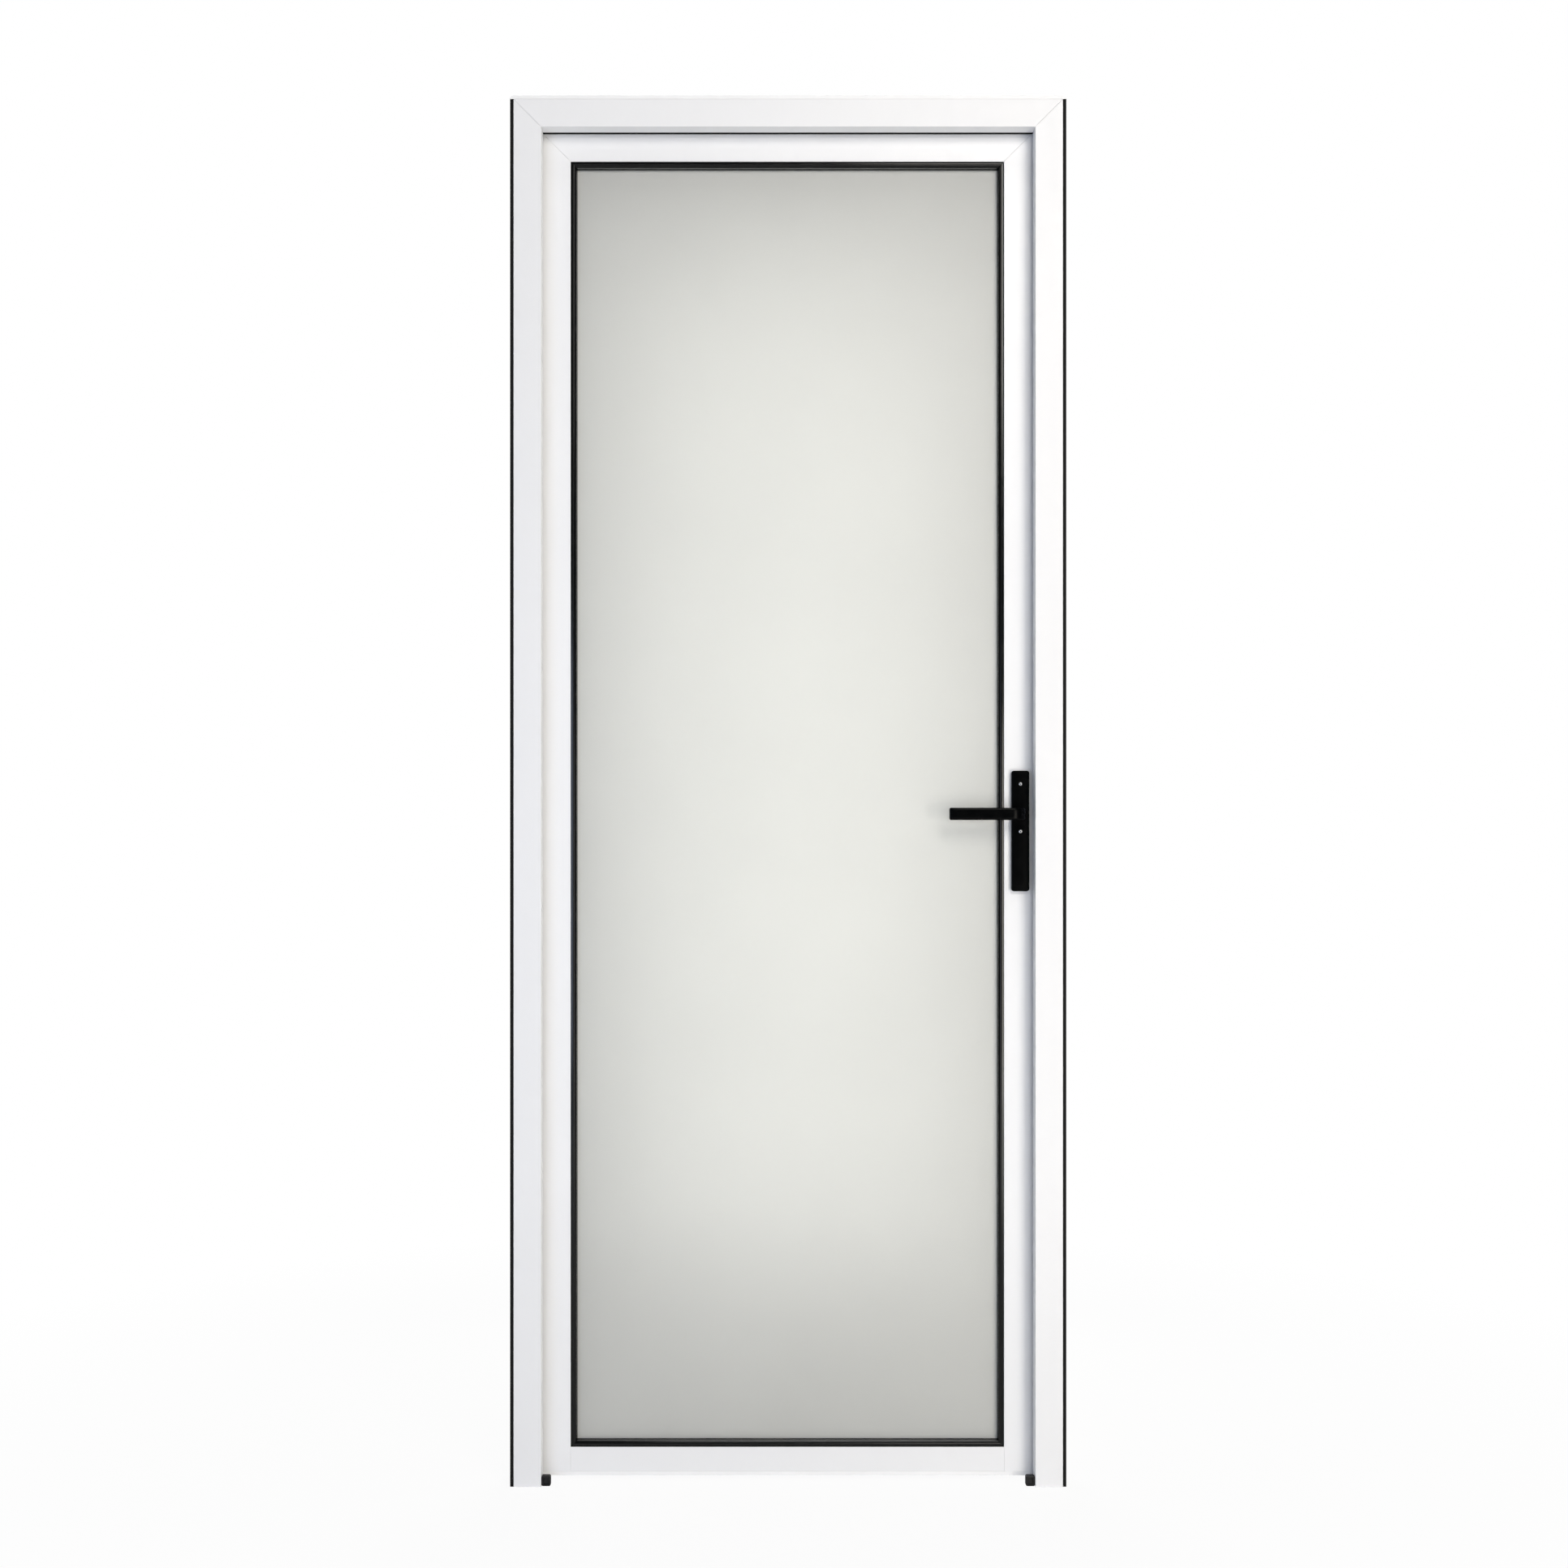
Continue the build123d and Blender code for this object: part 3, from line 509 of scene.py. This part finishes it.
def lever_shells(sizes, low, high):
    """The front lever. Its middle line runs out of the plate, round a quarter turn and along the
    leaf: (x, y) is a function of the distance gone. Its section is a superellipse, and the tip's
    edge is rounded as a quarter circle. A collar is turned about the spindle."""
    half = sizes.thickness / 2
    tall = (high.z - low.z) / 2
    bar_y = low.y + half
    bend = sizes.bend
    plate_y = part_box("front_handle_plate")[0].y
    clear_of_plate = 0.5 * MM
    neck_y = plate_y - clear_of_plate
    neck = neck_y - (bar_y + bend)
    turn = bend * QUARTER_TURN
    bar = SPINDLE.x - bend - low.x
    total = neck + turn + bar
    insets, rises = quarter_round(sizes.tip_edge, 7)
    gone = np.concatenate((
        np.linspace(0, neck, 3)[:-1],
        neck + np.linspace(0, turn, 21)[:-1],
        neck + turn + np.linspace(0, bar - sizes.tip_edge, 9)[:-1],
        total - sizes.tip_edge + rises,
    ))
    inset = np.concatenate((np.zeros(len(gone) - len(insets)), insets))
    angle = np.clip((gone - neck) / bend, 0, QUARTER_TURN)
    x = SPINDLE.x - bend * (1 - np.cos(angle)) - np.clip(gone - neck - turn, 0, None)
    y = neck_y - np.clip(gone, None, neck) - bend * np.sin(angle)
    outer = np.stack((np.cos(angle), -np.sin(angle), np.zeros_like(angle)), axis=-1)
    around = np.linspace(0, FULL_TURN, 56, endpoint=False)
    power = 2 / sizes.squareness
    wide = np.sign(np.cos(around)) * np.abs(np.cos(around)) ** power
    high_part = np.sign(np.sin(around)) * np.abs(np.sin(around)) ** power
    middle = np.stack((x, y, np.full_like(x, SPINDLE.z)), axis=-1)
    grip = (
        middle[:, None]
        + ((half - inset)[:, None] * wide)[..., None] * outer[:, None]
        + ((tall - inset)[:, None] * high_part)[..., None] * UP
    )
    radius, top = sizes.collar_radius, sizes.collar_height
    sunk, edge = 6 * MM, 0.6 * MM
    rings = [(radius, -sunk, 0), (radius, top - edge, 0)]
    rings += [(radius - edge / 3, top - edge / 3, 0), (radius - edge, top, 0)]
    collar = turned((SPINDLE.x, plate_y, SPINDLE.z), -BACK, rings, 56)
    return [grip, collar]


def to_back(rings):
    """The same shape mirrored in the middle plane of the leaf."""
    other = rings.copy()
    other[..., 1] = LEAF_FRONT + LEAF_BACK - other[..., 1]
    return other


class DOOR_OT_finishes(bpy.types.Operator):
    """Give every CAD node its finish"""

    bl_idname = "door.finishes"
    bl_label = "Finishes"

    def execute(self, context):
        FINISHES.update(make_finishes(context.scene.door_colours))
        for name, part in frame["nodes"].items():
            part.data.materials.clear()
            part.data.materials.append(FINISHES[slot_of(name)])
        return {"FINISHED"}


class DOOR_OT_levers(bpy.types.Operator):
    """Make the front and the back lever"""

    bl_idname = "door.levers"
    bl_label = "Levers"

    def execute(self, context):
        shells = lever_shells(context.scene.door_lever, *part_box("front_lever"))
        make_piece("front_lever_shaped", shells, "handle_black", LEVER_BODY, ("front_lever",))
        backs = [to_back(rings) for rings in shells]
        make_piece("back_lever_shaped", backs, "handle_black", LEVER_BODY, ("back_lever",))
        return {"FINISHED"}


class DOOR_OT_handle_plates(bpy.types.Operator):
    """Make both handle plates and their screws"""

    bl_idname = "door.handle_plates"
    bl_label = "Handle plates"

    def execute(self, context):
        sizes = context.scene.door_lever
        low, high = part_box("front_handle_plate")
        middle = (low + high) / 2
        insets, rises = quarter_round(sizes.plate_edge, 7)
        rings = [(0, 0), *zip(insets, high.y - low.y - sizes.plate_edge + rises)]
        centre = (middle.x, high.y, middle.z)
        half_width, half_height = (high.x - low.x) / 2, (high.z - low.z) / 2
        plate = rounded_plate(
            centre, RIGHT, UP, -BACK, half_width, half_height, sizes.plate_corner, rings, steps=9
        )
        screws = [
            screw_head((SPINDLE.x, low.y, SPINDLE.z + rise), -BACK, sizes.screw_radius, 0.28, 0.3)
            for rise in (sizes.screw_above, -sizes.screw_below)
        ]
        backs = [to_back(rings) for rings in screws]
        for node, shell, heads in (
            ("front_handle_plate", plate, screws),
            ("back_handle_plate", to_back(plate), backs),
        ):
            make_piece(f"{node}_shaped", [shell], "handle_black", LEAF_BODY, (node,))
            make_piece(f"{node}_screws", heads, "lock_steel", LEAF_BODY)
        return {"FINISHED"}


def hinge_shells(sizes, node, toward):
    """Half a hinge: a rounded plate, a tongue from under the plate to the axis, and a knuckle
    turned about the axis, its rims rounded. toward is -1 on the jamb and 1 on the leaf."""
    low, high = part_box(node)
    near = HINGE_AXIS.x + toward * (sizes.knuckle + sizes.swing_gap)
    far = low.x if toward < 0 else high.x
    plate_top = LEAF_BACK + sizes.thickness
    middle = (near + far) / 2
    half_height = (high.z - low.z) / 2
    centre_z = (high.z + low.z) / 2
    insets, rises = quarter_round(sizes.edge, 4)
    rings = [(0, 0), *zip(insets, sizes.thickness - sizes.edge + rises)]
    place = (middle, LEAF_BACK, centre_z)
    half_width = abs(far - near) / 2
    plate = rounded_plate(place, RIGHT, UP, BACK, half_width, half_height, sizes.corner, rings)
    if toward < 0:
        start, end = low.z, centre_z - sizes.half_joint
    else:
        start, end = centre_z + sizes.half_joint, high.z
    length = end - start
    insets, rises = quarter_round(sizes.rim, 5)
    rings = [(sizes.knuckle - i, sizes.rim - r, 0) for i, r in zip(insets[::-1], rises[::-1])]
    rings += [(sizes.knuckle - i, length - sizes.rim + r, 0) for i, r in zip(insets, rises)]
    knuckle = turned((HINGE_AXIS.x, HINGE_AXIS.y, start), UP, rings, 48)
    under_plate, lift, sunk = 2 * MM, 0.5 * MM, 0.02 * MM
    root = near + toward * under_plate
    tongue = rounded_plate(
        ((root + HINGE_AXIS.x) / 2, LEAF_BACK + lift, (start + end) / 2),
        RIGHT,
        UP,
        BACK,
        half_width=abs(root - HINGE_AXIS.x) / 2,
        half_height=length / 2 - 0.3 * MM,
        corner=0.6 * MM,
        rings=[(0, 0), (0, sizes.thickness - lift - sunk)],
        steps=3,
    )
    shift, inner, outer = sizes.screw_shift, sizes.inner_screw, sizes.outer_screw
    screws = [
        screw_head((middle + side, plate_top, centre_z + rise), BACK, sizes.screw_radius)
        for side, rise in ((shift, -outer), (-shift, -inner), (-shift, inner), (shift, outer))
    ]
    return [plate, tongue, knuckle], screws


class DOOR_OT_hinges(bpy.types.Operator):
    """Make the three hinges and their screws"""

    bl_idname = "door.hinges"
    bl_label = "Hinges"

    def execute(self, context):
        sizes = context.scene.door_hinge
        for place in HINGE_PLACES:
            for part, body, toward in (("frame", FRAME_BODY, -1), ("leaf", LEAF_BODY, 1)):
                node = f"hinge_{place}_{part}_half"
                shells, screws = hinge_shells(sizes, node, toward)
                make_piece(f"{node}_shaped", shells, "hinge_black", body, (node,))
                make_piece(f"{node}_screws", screws, "hinge_black", body)
        return {"FINISHED"}


def bead_profile(sizes, low_depth):
    """The bead's section, distance in from the glazing line and depth from the leaf's face: a
    rounded outer edge, a flat, a ridge that rises as half a sine wave, and a slope down to a nose
    rounded as part of a circle."""
    share = np.linspace(0, 1, 17)
    ridge_in = sizes.ridge_start + sizes.ridge_width * share
    ridge = sizes.recess - sizes.ridge_height * np.sin(math.pi * share)
    nose_angle = np.linspace(math.radians(40), 0, 5)
    nose_in = sizes.face - sizes.nose * (1 - np.cos(nose_angle))
    nose_depth = sizes.nose_depth - sizes.nose * np.sin(nose_angle)
    edge = [(0, 0.3 * MM), (0.1 * MM, 0.08 * MM), (0.3 * MM, 0)]
    rows = [(away, sizes.recess + lower) for away, lower in edge]
    rows += [*zip(ridge_in, ridge), *zip(nose_in, nose_depth)]
    rows += [(sizes.face, low_depth), (0, low_depth)]
    return np.array(rows)


class DOOR_OT_beads(bpy.types.Operator):
    """Make the eight glazing beads"""

    bl_idname = "door.beads"
    bl_label = "Glazing beads"

    def execute(self, context):
        sizes = context.scene.door_beads
        x_low, x_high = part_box("front_bead_left")[0].x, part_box("front_bead_right")[1].x
        z_low, z_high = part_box("front_bead_bottom")[0].z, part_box("front_bead_top")[1].z
        profile = bead_profile(sizes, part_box("front_glazing_gasket")[0].y - LEAF_FRONT)
        starts = {
            "left": ((x_low, z_low), RIGHT, UP, z_high - z_low),
            "right": ((x_high, z_low), -RIGHT, UP, z_high - z_low),
            "top": ((x_low, z_high), -UP, RIGHT, x_high - x_low),
            "bottom": ((x_low, z_low), UP, RIGHT, x_high - x_low),
        }
        for layer, face_y, depth in (("front", LEAF_FRONT, BACK), ("back", LEAF_BACK, -BACK)):
            for side in SIDES:
                (x, z), inward, along, length = starts[side]
                bar = carried(profile, (x, face_y, z), inward, depth, along, length, sizes.mitre)
                node = f"{layer}_bead_{side}"
                make_piece(f"{node}_shaped", [bar], "bead_black", LEAF_BODY, (node,), sharp=40)
        return {"FINISHED"}


class DOOR_OT_fixings(bpy.types.Operator):
    """Make the caps over the wall screws and the screws of the lock and the strike"""

    bl_idname = "door.fixings"
    bl_label = "Caps and screws"

    def execute(self, context):
        sizes = context.scene.door_fixings
        high = CAD_BOX[1]
        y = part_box("hinge_jamb")[0].y + sizes.screw_depth
        rebate_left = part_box("hinge_jamb")[0].x + sizes.rebate
        rebate_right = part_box("lock_jamb")[1].x - sizes.rebate
        rebate_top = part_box("head")[1].z - sizes.rebate
        heights = np.linspace(sizes.jamb_end, high.z - sizes.jamb_end, sizes.jamb_count)
        # The caps' rounded edge is twice as wide as it is high
        insets, rises = quarter_round(sizes.cap_height, 6)
        rings = [(sizes.cap_radius, -0.1 * MM, 0)]
        rings += [(sizes.cap_radius - 2 * i, r, 0) for i, r in zip(insets, rises)]
        groups = {
            "hinge_jamb_screw_caps": [((rebate_left, y, z), RIGHT) for z in heights],
            "lock_jamb_screw_caps": [((rebate_right, y, z), -RIGHT) for z in heights],
            "head_screw_caps": [
                ((x, y, rebate_top), -UP) for x in (sizes.head_end, high.x - sizes.head_end)
            ],
        }
        for name, places in groups.items():
            shells = [turned(centre, outward, rings, 36) for centre, outward in places]
            make_piece(name, shells, "cap_strip_white", FRAME_BODY)
        leaf_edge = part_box("lock_faceplate")[1].x
        middle_y = (LEAF_FRONT + LEAF_BACK) / 2
        for name, x, outward, reach, body in (
            ("lock_faceplate_screws", leaf_edge, RIGHT, sizes.lock_screw_reach, LEAF_BODY),
            ("strike_plate_screws", rebate_right, -RIGHT, sizes.strike_screw_reach, FRAME_BODY),
        ):
            centres = [(x, middle_y, SPINDLE.z + side * reach) for side in (-1, 1)]
            screws = [screw_head(centre, outward, sizes.lock_screw_radius) for centre in centres]
            make_piece(name, screws, "lock_steel", body)
        return {"FINISHED"}


class DOOR_OT_foot_blocks(bpy.types.Operator):
    """Make the blocks at the feet of the jambs"""

    bl_idname = "door.foot_blocks"
    bl_label = "Foot blocks"

    def execute(self, context):
        sizes = context.scene.door_fixings
        insets, rises = quarter_round(sizes.block_edge, 4)
        rim = sizes.block_rim
        chamfer = 0.3 * MM
        for side in ("hinge", "lock"):
            node = f"{side}_foot_block"
            low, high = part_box(node)
            depth = high.y - low.y
            rings = [(0, 0), *zip(insets, depth - sizes.block_edge + rises)]
            rings += [(rim, depth), (rim + chamfer, depth - chamfer)]
            rings += [(rim + chamfer, depth - sizes.block_pocket)]
            centre = ((low.x + high.x) / 2, high.y, (low.z + high.z) / 2)
            half_width, half_height = (high.x - low.x) / 2, (high.z - low.z) / 2
            block = rounded_plate(
                centre, RIGHT, UP, -BACK, half_width, half_height, sizes.block_corner, rings
            )
            make_piece(f"{node}_shaped", [block], "block_black", FRAME_BODY, (node,))
        return {"FINISHED"}


# Studio


def background_seen(tree, place, low, high):
    """1 for the camera, and for gloss where Y, a place or a direction, is behind the door: the
    white backdrop stands there, and the studio in front of the door is dim. Rays that go through
    the etched glass count as gloss too, so they are taken off."""
    path = add(tree, "ShaderNodeLightPath").outputs
    depth = add(tree, "ShaderNodeSeparateXYZ", {"Vector": place}).outputs["Y"]
    ends = {"Value": depth, "From Min": low, "From Max": high}
    value = add(tree, "ShaderNodeMapRange", ends).outputs["Result"]
    for operation, other in (
        ("MULTIPLY", path["Is Glossy Ray"]),
        ("SUBTRACT", path["Is Transmission Ray"]),
        ("MAXIMUM", path["Is Camera Ray"]),
    ):
        ends = {0: value, 1: other}
        step = add(tree, "ShaderNodeMath", ends, operation=operation, use_clamp=True)
        value = step.outputs[0]
    return value


def studio_floor(colour):
    """Matt paper floor: white by itself where it is background, with the door's shadow kept near
    the door and fading out about 2 m away."""
    made = bpy.data.materials.new("matt_paper_floor")
    made.use_nodes = True
    tree = made.node_tree
    tree.nodes.clear()
    place = add(tree, "ShaderNodeTexCoord").outputs["Object"]
    fibre = 4 * MM
    pulp = add(tree, "ShaderNodeTexNoise", {"Vector": place, "Scale": 1 / fibre})
    darker = [channel * 0.99 for channel in colour[:3]] + [1]
    ends = {"Factor": pulp.outputs["Fac"], "A": colour, "B": darker}
    shade = add(tree, "ShaderNodeMix", ends, data_type="RGBA")
    paper = add(tree, "ShaderNodeBsdfDiffuse", {"Color": shade.outputs["Result"]})
    white = add(tree, "ShaderNodeEmission", {"Color": (1, 1, 1, 1), "Strength": 1.0})
    # The shadow starts to fade 0.4 m from the middle of the door's foot, and ends at 1.9 m
    under_door = (0.42, 0.0, 0.0)
    away = add(tree, "ShaderNodeVectorMath", {0: place, 1: under_door}, operation="DISTANCE")
    ends = {"Value": away.outputs["Value"], "From Min": 0.4, "From Max": 1.9, "To Min": 0.94}
    fade = add(tree, "ShaderNodeMapRange", ends).outputs["Result"]
    ends = {0: background_seen(tree, place, 0.0, 0.5), 1: fade}
    share = add(tree, "ShaderNodeMath", ends, operation="MULTIPLY", use_clamp=True).outputs[0]
    mix = add(tree, "ShaderNodeMixShader", {0: share, 1: paper.outputs[0], 2: white.outputs[0]})
    add(tree, "ShaderNodeOutputMaterial", {"Surface": mix.outputs[0]})
    return made


def studio_world(colour, strength):
    """Even pale light, and plain white where it is background."""
    world = bpy.data.worlds.new("studio")
    world.use_nodes = True
    tree = world.node_tree
    tree.nodes.clear()
    direction = add(tree, "ShaderNodeTexCoord").outputs["Generated"]
    even = add(tree, "ShaderNodeBackground", {"Color": colour, "Strength": strength})
    white = add(tree, "ShaderNodeBackground", {"Color": (1, 1, 1, 1), "Strength": 1.0})
    seen = background_seen(tree, direction, -0.1, 0.2)
    mix = add(tree, "ShaderNodeMixShader", {0: seen, 1: even.outputs[0], 2: white.outputs[0]})
    add(tree, "ShaderNodeOutputWorld", {"Surface": mix.outputs[0]})
    return world


def area_light(name, place, aim, size, power, hex_colour):
    """A soft rectangular light that the camera doesn't see."""
    light = bpy.data.lights.new(name, "AREA")
    light.shape = "RECTANGLE"
    light.size, light.size_y = size
    light.energy = power
    light.color = linear(hex_colour)[:3]
    lamp = bpy.data.objects.new(name, light)
    lamp.location = place
    lamp.rotation_euler = (Vector(aim) - Vector(place)).to_track_quat("-Z", "Y").to_euler()
    lamp.visible_camera = False
    bpy.context.scene.collection.objects.link(lamp)


class DOOR_OT_stage(bpy.types.Operator):
    """Make the floor, the light and the camera"""

    bl_idname = "door.stage"
    bl_label = "Stage"

    def execute(self, context):
        scene = context.scene
        sizes = scene.door_stage
        half_floor = 30.0
        corners = np.array([(-1, -1, 0), (1, -1, 0), (1, 1, 0), (-1, 1, 0)]) * half_floor
        mesh = bpy.data.meshes.new("floor")
        mesh.from_pydata(corners.tolist(), [], [(0, 1, 2, 3)])
        mesh.materials.append(studio_floor(scene.door_colours.floor))
        floor = bpy.data.objects.new("floor", mesh)
        scene.collection.objects.link(floor)

        scene.world = studio_world(scene.door_colours.studio, sizes.ambient)
        for name, (place, aim, size, hex_colour) in LAMPS.items():
            area_light(name, place, aim, size, getattr(sizes, name), hex_colour)

        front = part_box("hinge_jamb")[0].y
        lens = bpy.data.cameras.new("camera")
        lens.lens = sizes.lens
        lens.sensor_width = 36.0
        scale = sizes.lens / lens.sensor_width / sizes.distance
        lens.shift_x = (sizes.aim_x - sizes.camera_x) * scale
        lens.shift_y = (sizes.aim_z - sizes.camera_z) * scale
        camera = bpy.data.objects.new("camera", lens)
        camera.location = (sizes.camera_x, front - sizes.distance, sizes.camera_z)
        camera.rotation_euler = (QUARTER_TURN, 0, 0)
        scene.collection.objects.link(camera)
        scene.camera = camera
        scene.view_settings.view_transform = "Standard"
        return {"FINISHED"}


class DOOR_PT_panel(bpy.types.Panel):
    """Lists the door's operators and what they read"""

    bl_idname = "DOOR_PT_panel"
    bl_label = "Glazed door"
    bl_space_type = "VIEW_3D"
    bl_region_type = "UI"
    bl_category = "Door"

    def draw(self, context):
        for operator in OPERATORS:
            self.layout.operator(operator.bl_idname)
        for name, group in GROUPS.items():
            box = self.layout.box()
            for key in group.__annotations__:
                box.prop(getattr(context.scene, name), key)


OPERATORS = (
    DOOR_OT_finishes,
    DOOR_OT_levers,
    DOOR_OT_handle_plates,
    DOOR_OT_hinges,
    DOOR_OT_beads,
    DOOR_OT_fixings,
    DOOR_OT_foot_blocks,
    DOOR_OT_stage,
)
GROUPS = {
    "door_colours": DoorColours,
    "door_lever": LeverSizes,
    "door_hinge": HingeSizes,
    "door_beads": BeadSizes,
    "door_fixings": FixingSizes,
    "door_stage": StageSizes,
}


def register():
    """Register the classes and hang each group of sizes on the scene."""
    for group in GROUPS.values():
        bpy.utils.register_class(group)
    for operator in OPERATORS:
        bpy.utils.register_class(operator)
    bpy.utils.register_class(DOOR_PT_panel)
    for name, group in GROUPS.items():
        setattr(bpy.types.Scene, name, PointerProperty(type=group))


def unregister():
    """Undo what register does, last first."""
    for name in GROUPS:
        delattr(bpy.types.Scene, name)
    bpy.utils.unregister_class(DOOR_PT_panel)
    for operator in reversed(OPERATORS):
        bpy.utils.unregister_class(operator)
    for group in reversed(GROUPS.values()):
        bpy.utils.unregister_class(group)


def main():
    register()
    bpy.ops.door.finishes()
    bpy.ops.door.levers()
    bpy.ops.door.handle_plates()
    bpy.ops.door.hinges()
    bpy.ops.door.beads()
    bpy.ops.door.fixings()
    bpy.ops.door.foot_blocks()
    bpy.ops.door.stage()


if __name__ == "__main__":
    main()
